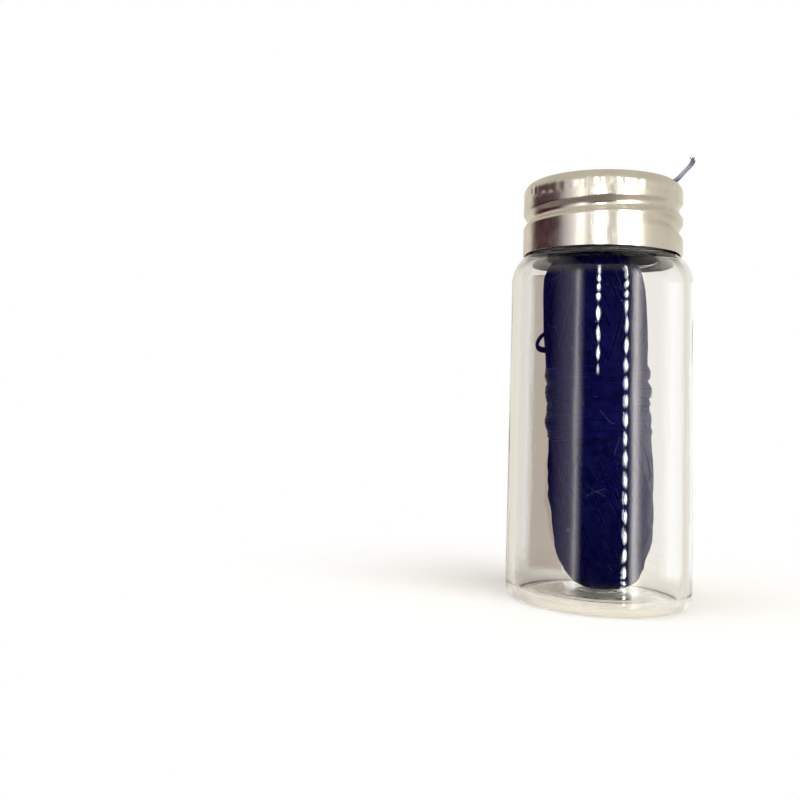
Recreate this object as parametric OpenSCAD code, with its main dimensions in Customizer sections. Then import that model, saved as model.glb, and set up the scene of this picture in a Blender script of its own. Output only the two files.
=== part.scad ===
// Refillable floss dispenser: a clear glass vial with a threaded neck, a drawn steel screw cap
// with a floss outlet and a lanced cutter, a seal liner, and a cocoon of wound floss.
// Millimetres. The origin is the middle of the base, and +Z runs up the axis of the vial.

/* [Glass vial] */
// Outer diameter of the glass body
body_d = 26; // [24:0.5:32]
// Height of the glass from its base to its sealing rim
vial_h = 59.1; // [57:0.1:80]
// Thickness of the glass wall
wall_t = 1.2; // [0.8:0.1:1.6]
// Radius of the rounded shoulder
shoulder_r = 5.2; // [4:0.1:6]
// Radius of the heel, where the wall turns into the base
heel_r = 1.8; // [1:0.1:2.4]
// Thickness of the glass floor
floor_t = 1.1; // [0.8:0.1:2]
// How far the middle of the base is pushed up
push_up = 0.8; // [0.4:0.1:1.4]
// Width of the flat ring that the vial stands on
stand_w = 1.6; // [1.2:0.1:2]
// Radius inside the vial, between its wall and its floor
inner_heel_r = 1.6; // [1:0.1:2]

/* [Neck and thread] */
// Outer diameter of the neck between its threads
neck_d = 19.5; // [18.5:0.1:21]
// Thickness of the neck wall
neck_t = 1.3; // [1:0.1:1.6]
// Height of the neck above the shoulder
neck_h = 8.9; // [8.6:0.1:11]
// Radius between the neck and the shoulder
neck_fillet = 0.6; // [0.3:0.1:1]
// Rounding of the sealing rim
lip_r = 0.45; // [0.2:0.05:0.45]
// Rise of the thread in one turn
pitch = 3.175; // [2.9:0.025:3.4]
// Turns of thread on the glass
glass_turns = 1.5; // [1:0.1:1.6]
// How far the glass thread stands out from the neck
bead_h = 1.2; // [1:0.05:1.3]
// Width of the glass thread at its root
bead_w = 2; // [1.6:0.1:2.2]
// Depth from the rim to the middle of the upper end of the glass thread
thread_drop = 1.45; // [1.3:0.05:1.8]

/* [Screw cap] */
// Thickness of the cap's sheet steel
sheet_t = 0.3; // [0.25:0.05:0.4]
// Radial clearance between the glass thread and the cap's wall
cap_gap = 0.25; // [0.2:0.05:0.4]
// Radius of the cap's crown, from its top to its wall
crown_r = 1.8; // [1.2:0.1:2]
// Gap between the cap's lower edge and the shoulder
rim_gap = 0.3; // [0.3:0.05:0.8]
// Depth of the rolled thread groove
groove_d = 0.65; // [0.5:0.05:0.7]
// Width of the rolled thread groove
groove_w = 2.4; // [2:0.1:2.4]
// Turns of rolled thread, run-outs included
cap_turns = 1.32; // [1.1:0.02:1.4]
// How far past the end of the glass thread the rolled thread goes on, in degrees
cap_lead = 40; // [10:5:60]
// How far below the glass thread the rolled thread runs
thread_seat = 1.3; // [1.25:0.05:1.6]
// Diameter of the hole where the floss comes out
outlet_d = 2.5; // [2.4:0.1:3]
// Thickness of the seal liner
liner_t = 1; // [0.8:0.1:1.4]
// Thickness of the seal liner at its edge, below the curve of the crown
liner_edge_t = 0.3; // [0.2:0.05:0.5]
// Diameter of the hole in the seal liner
liner_hole_d = 3; // [2.8:0.1:4]
// Radial clearance between the seal liner and the cap
liner_gap = 0.5; // [0.3:0.1:0.8]
// Clearance between the seal liner and the glass rim
seat_gap = 0.1; // [0.05:0.05:0.3]

/* [Cutter] */
// Distance from the cap's middle to the middle of the cutter tongue
cutter_x = 8.3; // [7.8:0.1:8.5]
// Width of the cutter tongue, along the floss
cutter_w = 2.2; // [1.6:0.1:2.4]
// Length of the cutter tongue, across the floss
cutter_l = 3.6; // [3.2:0.1:5]
// How much room the floss has under the cutter tongue
cutter_gap = 0.15; // [0.1:0.05:0.4]

/* [Floss refill] */
// Diameter of the wound floss
bobbin_d = 14.6; // [13:0.1:15.2]
// Length of the wound floss
bobbin_l = 49.2; // [44:0.1:50]
// Diameter of the hollow up the middle of the winding
core_d = 4; // [3.8:0.1:5]
// Depth of the hollow below the top of the winding
core_l = 30; // [26:0.5:36]
// Length over which the foot of the winding rounds in
foot_taper = 15; // [10:0.5:18]
// Length over which the head of the winding rounds in
head_taper = 9; // [7:0.5:11]
// Angle at which the winding leans in the vial
lean = 2.8; // [2:0.1:3]
// Distance from the vial's axis to the middle of the winding's foot
foot_x = 1; // [0.8:0.05:1.3]
// Gap between the winding and the glass floor
foot_gap = 0.2; // [0.2:0.05:0.5]
// Thickness of the floss thread
floss_d = 0.7; // [0.5:0.05:0.75]
// Height of the middle of the band round the waist, above the winding's foot
waist_s = 26.1; // [22:0.1:29]
// Turns of floss in the band round the waist
waist_turns = 12; // [6:1:14]
// Distance from turn to turn in the band
turn_gap = 0.87; // [0.7:0.01:0.95]
// How far the turns of the band stand out from the winding
waist_rise = 0.4; // [0.3:0.05:0.6]
// How far the band draws the waist in
waist_dip = 0.3; // [0.1:0.05:0.5]
// Height of the loose loop above the winding's foot
loop_s = 34.7; // [33.5:0.1:36]
// Radius of the loose loop at the side
loop_r = 1.35; // [1:0.05:1.8]

/* [Hidden] */
smooth = 96;
eps = 0.01;

// Glass
body_r = body_d / 2;
neck_r = neck_d / 2;
cavity_r = body_r - wall_t;
bore_r = neck_r - neck_t;
shoulder_x = body_r - shoulder_r;
shoulder_drop = arc_rise(shoulder_r, neck_r - shoulder_x);
shoulder_z = vial_h - neck_h - shoulder_drop;
inner_shoulder_r = shoulder_r - wall_t;
ring_r = body_r - heel_r - stand_w;
push_up_r = (ring_r * ring_r + push_up * push_up) / (2 * push_up);
push_up_z = push_up - push_up_r;
floor_z = push_up + floor_t;
floor_edge_z = push_up_z + arc_rise(push_up_r + floor_t, cavity_r - inner_heel_r);

// Threads: a height for every angle along the helix, whose glass end is at one full turn
bead_root = 0.3;
bead_top_a = 360;
bead_low_a = bead_top_a - 360 * glass_turns;
bead_fade = 40;
bead_step = 7.5;
bead_sides = 8;
cap_high_a = bead_top_a + cap_lead;
cap_low_a = cap_high_a - 360 * cap_turns;
cap_fade = 40;
cap_sides = 72;
cap_row = 0.3;

// Cap
cap_r = neck_r + bead_h + cap_gap + sheet_t;
cap_in_r = cap_r - sheet_t;
cap_z = shoulder_z + arc_rise(shoulder_r, cap_in_r - shoulder_x) + rim_gap;
liner_z = vial_h + seat_gap;
cap_under = liner_z + liner_t;
cap_top = cap_under + sheet_t;
crown_x = cap_r - crown_r;
seam_lap = 0.3;
seam_in = 0.02;
roll_low_z = groove_z(cap_low_a) - groove_w / 2;
roll_high_z = groove_z(cap_high_a) + groove_w / 2;
roll_low = max(roll_low_z, cap_z + sheet_t + seam_lap);
roll_high = min(roll_high_z, cap_top - crown_r);
roll_rows = ceil((roll_high - roll_low) / cap_row);

// Cutter
cutter_z = cap_top + floss_d + cutter_gap;
cutter_ramp = cutter_z - cap_top + sheet_t;
cutter_lip = 0.2;
cutter_slit = 0.15;

// Floss
bobbin_r = bobbin_d / 2;
foot_z = floor_z + foot_gap;
end_steps = 12;
end_round_in = 2;
end_round_out = 4;
waist_l = waist_turns * turn_gap;
winding_gap = 0.03;
waist_rows = 6;
ridge_base = 0.55;
ridge_steps = 4;

// The strand's route up the middle, out of the cap, under the cutter and up at the edge
strand_path = [
    [0, 29], [0, 33], [0, 37], [0, 41], [0, 45], [0, 49], [0, 53], [0, 56.5], [0.1, 58.6],
    [0.3, 59.7], [0.65, 60.4], [1.1, 61], [1.8, 61.35], [2.7, 61.35], [3.7, 61.1], [5, 60.93],
    [6.4, 60.9], [7.6, 60.9], [9, 60.9], [9.9, 61], [10.6, 61.4], [11.3, 62], [12.2, 63],
    [13, 63.9], [13.45, 64.55], [13.6, 65.3]
];
strand_sides = 8;

function arc_rise(r, x) = sqrt(r * r - pow(max(0, x), 2));
function ease(t) = let (u = min(1, max(0, t))) u * u * (3 - 2 * u);
function bead_z(a) = vial_h - thread_drop - pitch * (bead_top_a - a) / 360;
function groove_z(a) = bead_z(a) - thread_seat;
function runout(a, low, high, fade) = ease((a - low) / fade) * ease((high - a) / fade);

// How deep the rolled groove is at an angle and a height
function groove_bump(u) = abs(u) < groove_w / 2 ? pow(cos(180 * u / groove_w), 2) : 0;
function groove_turn(a, z) = runout(a, cap_low_a, cap_high_a, cap_fade) * groove_bump(z - groove_z(a));
function groove_depth(a, z) = groove_d * max([for (k = [-2:2]) groove_turn(a + 360 * k, z)]);

// Radius of the winding at a height above its foot
function end_round(t) = pow(1 - pow(1 - min(1, t), end_round_in), 1 / end_round_out);
function waist_pull(s) = abs(s - waist_s) < waist_l ? waist_dip * pow(cos(90 * (s - waist_s) / waist_l), 2) : 0;
function winding_r(s) = bobbin_r * end_round(s / foot_taper) * end_round((bobbin_l - s) / head_taper) - waist_pull(s);

// A half profile: a column with its lower and upper outer corners rounded
module column_profile(r, z0, z1, low_r, high_r) {
    translate([0, z0])
        square([r - low_r, z1 - z0 - high_r]);
    translate([0, z0 + low_r])
        square([r - high_r, z1 - z0 - low_r]);
    translate([0, z0 + low_r])
        square([r, z1 - z0 - low_r - high_r]);
    if (low_r > 0)
        translate([r - low_r, z0 + low_r])
            circle(r = low_r, $fn = smooth);
    if (high_r > 0)
        translate([r - high_r, z1 - high_r])
            circle(r = high_r, $fn = smooth);
}

// The hollow radius where the neck grows out of the shoulder
module neck_root_profile() {
    dx = max(0, neck_r + neck_fillet - shoulder_x);
    fillet_z = shoulder_z + arc_rise(shoulder_r + neck_fillet, dx);
    touch_x = dx > 0 ? shoulder_x + dx * shoulder_r / (shoulder_r + neck_fillet) : neck_r + neck_fillet;
    difference() {
        translate([bore_r + eps, shoulder_z])
            square([touch_x - bore_r - eps, fillet_z - shoulder_z]);
        translate([neck_r + neck_fillet, fillet_z])
            circle(r = neck_fillet, $fn = smooth);
    }
}

module cavity_profile() {
    difference() {
        column_profile(cavity_r, floor_edge_z, shoulder_z + inner_shoulder_r, inner_heel_r, inner_shoulder_r);
        translate([0, push_up_z])
            circle(r = push_up_r + floor_t, $fn = smooth);
    }
    translate([0, shoulder_z])
        square([bore_r, vial_h - shoulder_z + 1]);
    difference() {
        translate([0, vial_h - lip_r])
            square([bore_r + lip_r, lip_r + 1]);
        translate([bore_r + lip_r, vial_h - lip_r])
            circle(r = lip_r, $fn = smooth);
    }
}

module glass_profile() {
    intersection() {
        difference() {
            union() {
                column_profile(body_r, 0, shoulder_z + shoulder_r, heel_r, shoulder_r);
                column_profile(neck_r, shoulder_z, vial_h, 0, lip_r);
                neck_root_profile();
            }
            cavity_profile();
            translate([0, push_up_z])
                circle(r = push_up_r, $fn = smooth);
        }
        square([body_r + 1, vial_h + 1]);
    }
}

// The helical bead on the neck, sunk into the neck at its root and fading out at both ends
module glass_thread() {
    steps = round((bead_top_a - bead_low_a) / bead_step);
    root_r = neck_r - bead_root;
    ring = [for (j = [0:bead_sides - 1]) 180 * j / (bead_sides - 1)];
    points = [
        for (i = [0:steps])
            let (
                a = bead_low_a + i * (bead_top_a - bead_low_a) / steps,
                rise = (bead_root + bead_h) * max(0.1, runout(a, bead_low_a, bead_top_a, bead_fade))
            )
            for (t = ring)
                let (r = root_r + rise * sin(t))
                [r * cos(a), r * sin(a), bead_z(a) + bead_w / 2 * cos(t)]
    ];
    polyhedron(points, sweep_faces(steps, bead_sides), convexity = 10);
}

// Faces of a closed sweep of rings, with a flat cap at each end
function sweep_faces(steps, sides) = concat(
    [[for (j = [0:sides - 1]) j]],
    [for (i = [0:steps - 1], j = [0:sides - 1])
        let (a = i * sides + j, b = i * sides + (j + 1) % sides)
        [a, a + sides, b]],
    [for (i = [0:steps - 1], j = [0:sides - 1])
        let (a = i * sides + j, b = i * sides + (j + 1) % sides)
        [b, a + sides, b + sides]],
    [[for (j = [sides - 1:-1:0]) steps * sides + j]]
);

module glass_vial() {
    color([0.85, 0.9, 0.9, 0.4]) {
        union() {
            rotate_extrude($fn = smooth)
                glass_profile();
            glass_thread();
        }
    }
}

// The stretch of cap wall that carries the rolled thread: the sheet keeps its thickness
// while both its faces follow the groove
module rolled_wall() {
    rows = roll_rows;
    function wall_z(j) = roll_low + (roll_high - roll_low) * j / rows;
    function wall_point(r, i, j) =
        let (a = 360 * i / cap_sides, z = wall_z(j), d = r - groove_depth(a, z))
        [d * cos(a), d * sin(a), z];
    outer = [for (j = [0:rows], i = [0:cap_sides - 1]) wall_point(cap_r - seam_in, i, j)];
    inner = [for (j = [0:rows], i = [0:cap_sides - 1]) wall_point(cap_in_r + seam_in, i, j)];
    n = cap_sides;
    first = (rows + 1) * n;
    last = rows * n;
    faces = concat(
        [for (j = [0:rows - 1], i = [0:n - 1]) [j * n + i, (j + 1) * n + i, (j + 1) * n + (i + 1) % n]],
        [for (j = [0:rows - 1], i = [0:n - 1]) [j * n + i, (j + 1) * n + (i + 1) % n, j * n + (i + 1) % n]],
        [for (j = [0:rows - 1], i = [0:n - 1])
            [first + j * n + i, first + (j + 1) * n + (i + 1) % n, first + (j + 1) * n + i]],
        [for (j = [0:rows - 1], i = [0:n - 1])
            [first + j * n + i, first + j * n + (i + 1) % n, first + (j + 1) * n + (i + 1) % n]],
        [for (i = [0:n - 1]) [i, (i + 1) % n, first + (i + 1) % n]],
        [for (i = [0:n - 1]) [i, first + (i + 1) % n, first + i]],
        [for (i = [0:n - 1]) [last + i, first + last + (i + 1) % n, last + (i + 1) % n]],
        [for (i = [0:n - 1]) [last + i, first + last + i, first + last + (i + 1) % n]]
    );
    polyhedron(concat(outer, inner), faces, convexity = 10);
}

// Crown of the cap: the flat top, its rounded corner and the plain wall down to the thread
module crown() {
    rotate_extrude($fn = smooth)
        difference() {
            column_profile(cap_r, roll_high - seam_lap, cap_top, 0, crown_r);
            column_profile(cap_in_r, roll_high - seam_lap - 1, cap_under, 0, crown_r - sheet_t);
        }
}

// Plain skirt below the thread, with its cut edge rounded over
module skirt() {
    rotate_extrude($fn = smooth) {
        translate([cap_in_r, cap_z + sheet_t / 2])
            square([sheet_t, roll_low + seam_lap - cap_z - sheet_t / 2]);
        translate([cap_in_r + sheet_t / 2, cap_z + sheet_t / 2])
            circle(d = sheet_t, $fn = smooth);
    }
}

// The cutter tongue, lanced from the top and bent up over its own window
module cutter_tongue() {
    half = cutter_l / 2;
    translate([cutter_x - cutter_w / 2 + cutter_slit, 0, 0])
        rotate([90, 0, 90])
            linear_extrude(cutter_w - 2 * cutter_slit)
                polygon([
                    [half + cutter_lip, cap_under],
                    [half, cap_under],
                    [half - cutter_ramp, cutter_z],
                    [-half, cutter_z],
                    [-half, cutter_z + sheet_t],
                    [half - cutter_ramp + sheet_t / 2, cutter_z + sheet_t],
                    [half + cutter_lip, cap_top]
                ]);
}

module cap_shell() {
    color([0.77, 0.74, 0.69]) {
        difference() {
            union() {
                crown();
                rolled_wall();
                skirt();
            }
            translate([0, 0, cap_under - 1])
                cylinder(d = outlet_d, h = sheet_t + 2, $fn = smooth);
            translate([cutter_x - cutter_w / 2, -cutter_l / 2, cap_under - 1])
                cube([cutter_w, cutter_l, sheet_t + 2]);
        }
        cutter_tongue();
    }
}

module seal_liner() {
    rim_r = cap_in_r - liner_gap;
    color([0.9, 0.9, 0.88])
        translate([0, 0, liner_z])
            rotate_extrude($fn = smooth)
                polygon([
                    [liner_hole_d / 2, 0],
                    [rim_r, 0],
                    [rim_r, liner_edge_t],
                    [crown_x, liner_t],
                    [liner_hole_d / 2, liner_t]
                ]);
}

// Places something along the leaning axis of the winding
module on_winding(s = 0) {
    translate([foot_x, 0, foot_z])
        rotate([0, -lean, 0])
            translate([0, 0, s])
                children();
}

module floss_bobbin() {
    foot = [for (i = [1:end_steps]) foot_taper * (1 - cos(90 * i / end_steps))];
    waist = [for (s = [waist_s - waist_l:waist_l / waist_rows:waist_s + waist_l]) s];
    head = [for (i = [end_steps:-1:1]) bobbin_l - head_taper * (1 - cos(90 * i / end_steps))];
    color([0.06, 0.07, 0.25])
        on_winding()
            difference() {
                rotate_extrude($fn = smooth)
                    polygon(concat(
                        [[0, bobbin_l], [0, 0]],
                        [for (s = foot) [winding_r(s), s]],
                        [for (s = waist) if (s > foot_taper && s < bobbin_l - head_taper) [winding_r(s), s]],
                        [for (s = head) [winding_r(s), s]]
                    ));
                translate([0, 0, bobbin_l - core_l])
                    cylinder(d = core_d, h = core_l + 1, $fn = smooth);
            }
}

// The band of turns round the waist, each turn a low rounded ridge
module floss_waist_wrap() {
    low_s = waist_s - waist_l / 2;
    ridge = [for (i = [0:ridge_steps * waist_turns]) i];
    function ridge_rise(i) = waist_rise * (ridge_base + (1 - ridge_base) * abs(sin(180 * i / ridge_steps)));
    color([0.05, 0.06, 0.2])
        on_winding()
            rotate_extrude($fn = smooth)
                polygon(concat(
                    [for (i = ridge)
                        let (s = low_s + i * turn_gap / ridge_steps)
                        [winding_r(s) + winding_gap + ridge_rise(i), s]],
                    [for (i = ridge)
                        let (s = low_s + waist_l - i * turn_gap / ridge_steps)
                        [winding_r(s) + winding_gap, s]]
                ));
}

module floss_loop() {
    color([0.05, 0.06, 0.2])
        on_winding(loop_s)
            translate([-winding_r(loop_s) - winding_gap, 0, 0])
                rotate([90, 0, 0])
                    rotate_extrude(angle = 180, start = 90, $fn = smooth)
                        translate([loop_r, 0])
                            circle(d = floss_d, $fn = 16);
}

// Direction of the strand's route at one of its points
function strand_dir(i) =
    let (
        a = strand_path[max(0, i - 1)],
        b = strand_path[min(len(strand_path) - 1, i + 1)],
        d = b - a
    )
    d / norm(d);

module floss_strand() {
    steps = len(strand_path) - 1;
    r = floss_d / 2;
    points = [
        for (i = [0:steps], j = [0:strand_sides - 1])
            let (p = strand_path[i], d = strand_dir(i), a = 360 * j / strand_sides)
            [p[0] + r * cos(a) * d[1], r * sin(a), p[1] - r * cos(a) * d[0]]
    ];
    color([0.3, 0.31, 0.4])
        polyhedron(points, sweep_faces(steps, strand_sides), convexity = 10);
}

glass_vial();
floss_bobbin();
floss_waist_wrap();
floss_loop();
seal_liner();
cap_shell();
floss_strand();
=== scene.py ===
import math

import bmesh
import bpy
from mathutils import Matrix, Vector, noise


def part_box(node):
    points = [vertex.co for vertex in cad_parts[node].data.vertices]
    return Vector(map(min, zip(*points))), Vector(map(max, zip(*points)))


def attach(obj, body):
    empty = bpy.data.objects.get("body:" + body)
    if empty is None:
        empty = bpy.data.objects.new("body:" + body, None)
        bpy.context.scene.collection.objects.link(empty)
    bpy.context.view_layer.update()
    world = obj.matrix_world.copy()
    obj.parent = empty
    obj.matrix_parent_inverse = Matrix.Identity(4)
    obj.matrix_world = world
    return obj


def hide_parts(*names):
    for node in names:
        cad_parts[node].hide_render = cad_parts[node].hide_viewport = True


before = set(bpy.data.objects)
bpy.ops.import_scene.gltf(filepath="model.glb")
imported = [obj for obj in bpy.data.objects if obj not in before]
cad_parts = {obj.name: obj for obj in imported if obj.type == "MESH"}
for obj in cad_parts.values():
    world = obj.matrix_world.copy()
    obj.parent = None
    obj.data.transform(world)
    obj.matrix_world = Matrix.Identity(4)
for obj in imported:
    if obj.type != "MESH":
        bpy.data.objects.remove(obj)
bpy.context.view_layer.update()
mm = 0.001
fullTurn = 2 * math.pi


def arc(centreX, centreZ, radius, start, end, steps):
    angles = [math.radians(start + (end - start) * i / steps) for i in range(steps + 1)]
    return [(centreX + radius * math.cos(a), centreZ + radius * math.sin(a)) for a in angles]


def between(start, end, steps):
    return [tuple(s + (e - s) * i / steps for s, e in zip(start, end)) for i in range(1, steps)]


def ease(t):
    t = min(1, max(0, t))
    return t * t * (3 - 2 * t)


def wobble(x, y=0.0, z=0.0):
    return noise.noise(Vector((x, y, z)))


def smoothRoute(points, steps):
    route = []
    for i in range(len(points) - 1):
        p0, p1, p2, p3 = (Vector(points[min(len(points) - 1, max(0, i + k))]) for k in (-1, 0, 1, 2))
        for j in range(steps):
            t = j / steps
            route.append(0.5 * ((2 * p1) + (p2 - p0) * t + (2 * p0 - 5 * p1 + 4 * p2 - p3) * t * t
                                + (3 * p1 - p0 - 3 * p2 + p3) * t ** 3))
    route.append(Vector(points[-1]))
    return route


def spinOutline(points, steps):
    bm = bmesh.new()
    verts = [bm.verts.new((x * mm, 0, z * mm)) for x, z in points]
    edges = [bm.edges.new(pair) for pair in zip(verts, verts[1:])]
    bmesh.ops.spin(bm, geom=verts + edges, cent=(0, 0, 0), axis=(0, 0, 1), dvec=(0, 0, 0),
                   angle=fullTurn, steps=steps, use_merge=True)
    bmesh.ops.remove_doubles(bm, verts=bm.verts, dist=0.001 * mm)
    bmesh.ops.recalc_face_normals(bm, faces=bm.faces)
    return bm


def addPiece(name, mesh, body, material, replaced=()):
    mesh.name = name
    piece = bpy.data.objects.new(name, mesh)
    bpy.context.collection.objects.link(piece)
    mesh.materials.clear()
    mesh.materials.append(material)
    for face in mesh.polygons:
        face.use_smooth = True
    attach(piece, body)
    if replaced:
        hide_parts(*replaced)
    print("made", name, len(mesh.polygons), "faces")
    return piece


def meshOf(bm, name):
    mesh = bpy.data.meshes.new(name)
    bm.to_mesh(mesh)
    bm.free()
    return mesh


def tubes(name, lines, radius, roundness=0, taper=None):
    curve = bpy.data.curves.new(name, "CURVE")
    curve.dimensions = "3D"
    curve.bevel_depth = radius * mm
    curve.bevel_resolution = roundness
    curve.use_fill_caps = True
    for line in lines:
        spline = curve.splines.new("POLY")
        spline.points.add(len(line) - 1)
        for i, (point, place) in enumerate(zip(spline.points, line)):
            point.co = (*(c * mm for c in place), 1)
            if taper:
                point.radius = taper(i / (len(line) - 1))
    holder = bpy.data.objects.new(name, curve)
    mesh = bpy.data.meshes.new_from_object(holder)
    bpy.data.objects.remove(holder)
    bpy.data.curves.remove(curve)
    return mesh


photoCamera = {
    "place": (-30.68, -140.4, 26.94),  # mm, in the frame of the object
    "yaw": -1.57,
    "pitch": 5.78,
    "roll": 2.23,
    "focalPixels": 950,
    "frameWidth": 800,
    "lensAxis": (366.9, 305.5),  # where the lens axis meets the frame, in pixels
}


def addCamera(spec):
    lens = bpy.data.cameras.new("photoCamera")
    lens.sensor_width = 36
    lens.lens = lens.sensor_width * spec["focalPixels"] / spec["frameWidth"]
    lens.shift_x = 0.5 - spec["lensAxis"][0] / spec["frameWidth"]
    lens.shift_y = spec["lensAxis"][1] / spec["frameWidth"] - 0.5
    lens.clip_start = 0.005
    yaw, pitch, roll = (math.radians(spec[k]) for k in ("yaw", "pitch", "roll"))
    ahead = Vector((math.sin(yaw) * math.cos(pitch), math.cos(yaw) * math.cos(pitch), math.sin(pitch)))
    right = Vector((math.cos(yaw), -math.sin(yaw), 0))
    up = right.cross(ahead)
    turned = math.cos(roll) * right + math.sin(roll) * up
    upright = math.cos(roll) * up - math.sin(roll) * right
    camera = bpy.data.objects.new("photoCamera", lens)
    bpy.context.collection.objects.link(camera)
    place = Matrix((turned, upright, -ahead)).transposed().to_4x4()
    place.translation = Vector(spec["place"]) * mm
    camera.matrix_world = place
    bpy.context.scene.camera = camera


addCamera(photoCamera)


def newMaterial(name):
    material = bpy.data.materials.new(name)
    material.use_nodes = True
    material.node_tree.nodes.clear()
    return material, material.node_tree


def addNode(tree, kind, inputs=None, **settings):
    node = tree.nodes.new("ShaderNode" + kind)
    for name, value in settings.items():
        setattr(node, name, value)
    for socket, value in (inputs or {}).items():
        if isinstance(value, bpy.types.NodeSocket):
            tree.links.new(value, node.inputs[socket])
        else:
            node.inputs[socket].default_value = value
    return node


def math2(tree, operation, a, b=0.0):
    return addNode(tree, "Math", {0: a, 1: b}, operation=operation).outputs[0]


def remap(tree, value, low, high, newLow, newHigh):
    return addNode(tree, "MapRange", {"Value": value, "From Min": low, "From Max": high,
                                      "To Min": newLow, "To Max": newHigh}).outputs[0]


def blendColours(tree, factor, a, b, mode="MIX"):
    node = addNode(tree, "Mix", {0: factor, 6: a, 7: b}, data_type="RGBA", blend_type=mode)
    return node.outputs[2]


def scaled(tree, vector, factor):
    return addNode(tree, "VectorMath", {0: vector, 3: factor}, operation="SCALE").outputs[0]


def stretched(tree, vector, factors):
    return addNode(tree, "VectorMath", {0: vector, 1: factors}, operation="MULTIPLY").outputs[0]


def lengthOf(tree, vector):
    return addNode(tree, "VectorMath", {0: vector}, operation="LENGTH").outputs["Value"]


def along(tree, vector, axis):
    return addNode(tree, "VectorMath", {0: vector, 1: axis}, operation="DOT_PRODUCT").outputs["Value"]


def split(tree, vector):
    return addNode(tree, "SeparateXYZ", {0: vector}).outputs


def millimetres(tree):
    return scaled(tree, addNode(tree, "TexCoord").outputs["Object"], 1000)


def noiseAt(tree, vector, scale, detail, roughness=0.5):
    return addNode(tree, "TexNoise", {"Vector": vector, "Scale": scale, "Detail": detail,
                                      "Roughness": roughness}).outputs[0]


def bumpOf(tree, height, strength, distance):
    return addNode(tree, "Bump", {"Height": height, "Strength": strength, "Distance": distance}).outputs[0]


def mixShaders(tree, factor, first, second):
    return addNode(tree, "MixShader", {0: factor, 1: first.outputs[0], 2: second.outputs[0]}).outputs[0]


def finishMaterial(tree, shader):
    addNode(tree, "OutputMaterial", {"Surface": shader})


glassVial = {
    "wall": 1.2,
    "shoulderRadius": 5.2,
    "heelRadius": 1.8,
    "innerHeelRadius": 1.6,
    "floor": 0.9,
    "pushUp": 1.0,
    "standRing": 1.6,
    "neckRadius": 9.75,
    "neckWall": 1.3,
    "neckHeight": 8.9,
    "neckFillet": 0.6,
    "lipRadius": 0.45,
    "pitch": 3.175,
    "threadTurns": 1.5,
    "threadDrop": 1.45,
    "threadRise": 1.2,
    "threadRoot": 0.3,
    "threadHalfWidth": 1.0,
    "fade": 40,
    "steps": 192,
    "ripple": 0.03,
    "tint": (0.985, 0.982, 0.973, 1),
    "lampTint": (0.985, 0.985, 0.98, 1),
}


def vialOutline(v, bodyRadius, height):
    shoulderX = bodyRadius - v["shoulderRadius"]
    shoulderZ = height - v["neckHeight"] - math.sqrt(
        v["shoulderRadius"] ** 2 - (v["neckRadius"] - shoulderX) ** 2)
    ringRadius = bodyRadius - v["heelRadius"] - v["standRing"]
    domeRadius = (ringRadius ** 2 + v["pushUp"] ** 2) / (2 * v["pushUp"])
    domeZ = v["pushUp"] - domeRadius
    innerRadius = bodyRadius - v["wall"]
    boreRadius = v["neckRadius"] - v["neckWall"]

    def dome(x, lift):
        mark = v["ripple"] * math.cos(2.2 * x) * math.exp(-((x - 8) / 2) ** 2)
        dimple = -2.5 * v["ripple"] * ease((3.2 - x) / 0.8)
        return domeZ + math.sqrt((domeRadius + lift) ** 2 - x * x) + (mark + dimple) * ease((9.4 - x) / 0.8)

    under = [(ringRadius * i / 40, dome(ringRadius * i / 40, 0)) for i in range(41)]
    heel = arc(bodyRadius - v["heelRadius"], v["heelRadius"], v["heelRadius"], -90, 0, 12)
    filletX = v["neckRadius"] + v["neckFillet"]
    reach = v["shoulderRadius"] + v["neckFillet"]
    filletZ = shoulderZ + math.sqrt(reach ** 2 - (filletX - shoulderX) ** 2)
    touch = math.degrees(math.atan2(filletZ - shoulderZ, filletX - shoulderX))
    shoulder = arc(shoulderX, shoulderZ, v["shoulderRadius"], 0, touch, 18)
    fillet = arc(filletX, filletZ, v["neckFillet"], 180 + touch, 180, 6)
    lipZ = height - v["lipRadius"]
    outerLip = arc(v["neckRadius"] - v["lipRadius"], lipZ, v["lipRadius"], 0, 90, 6)
    innerLip = arc(boreRadius + v["lipRadius"], lipZ, v["lipRadius"], 90, 180, 6)
    innerShoulder = v["shoulderRadius"] - v["wall"]
    edge = 0.6
    edgeZ = shoulderZ + math.sqrt((innerShoulder + edge) ** 2 - (boreRadius + edge - shoulderX) ** 2)
    innerTouch = math.degrees(math.atan2(edgeZ - shoulderZ, boreRadius + edge - shoulderX))
    bore = arc(boreRadius + edge, edgeZ, edge, 180, 180 + innerTouch, 8)
    inner = arc(shoulderX, shoulderZ, innerShoulder, innerTouch, 0, 18)
    floorX = innerRadius - v["innerHeelRadius"]
    floorZ = dome(floorX, v["floor"])
    innerHeel = arc(floorX, floorZ + v["innerHeelRadius"], v["innerHeelRadius"], 0, -90, 10)
    floor = [(floorX * (1 - i / 40), dome(floorX * (1 - i / 40), v["floor"])) for i in range(1, 41)]
    return (under + heel + between(heel[-1], shoulder[0], 12) + shoulder[:-1] + fillet
            + between(fillet[-1], outerLip[0], 66) + outerLip + innerLip
            + between(innerLip[-1], bore[0], 6) + bore[:-1] + inner
            + between(inner[-1], innerHeel[0], 12) + innerHeel + floor)


def threadRise(v, height, angle, z):
    best = 0
    for turn in (-1, 0):
        a = angle + 360 * turn
        low = 360 - 360 * v["threadTurns"]
        middle = height - v["threadDrop"] - v["pitch"] * (360 - a) / 360
        u = (z - middle) / v["threadHalfWidth"]
        if low < a < 360 and abs(u) < 1:
            fade = ease((a - low) / v["fade"]) * ease((360 - a) / v["fade"])
            rise = (v["threadRise"] + v["threadRoot"]) * fade * math.sqrt(1 - u * u)
            best = max(best, rise - v["threadRoot"])
    return best


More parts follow.
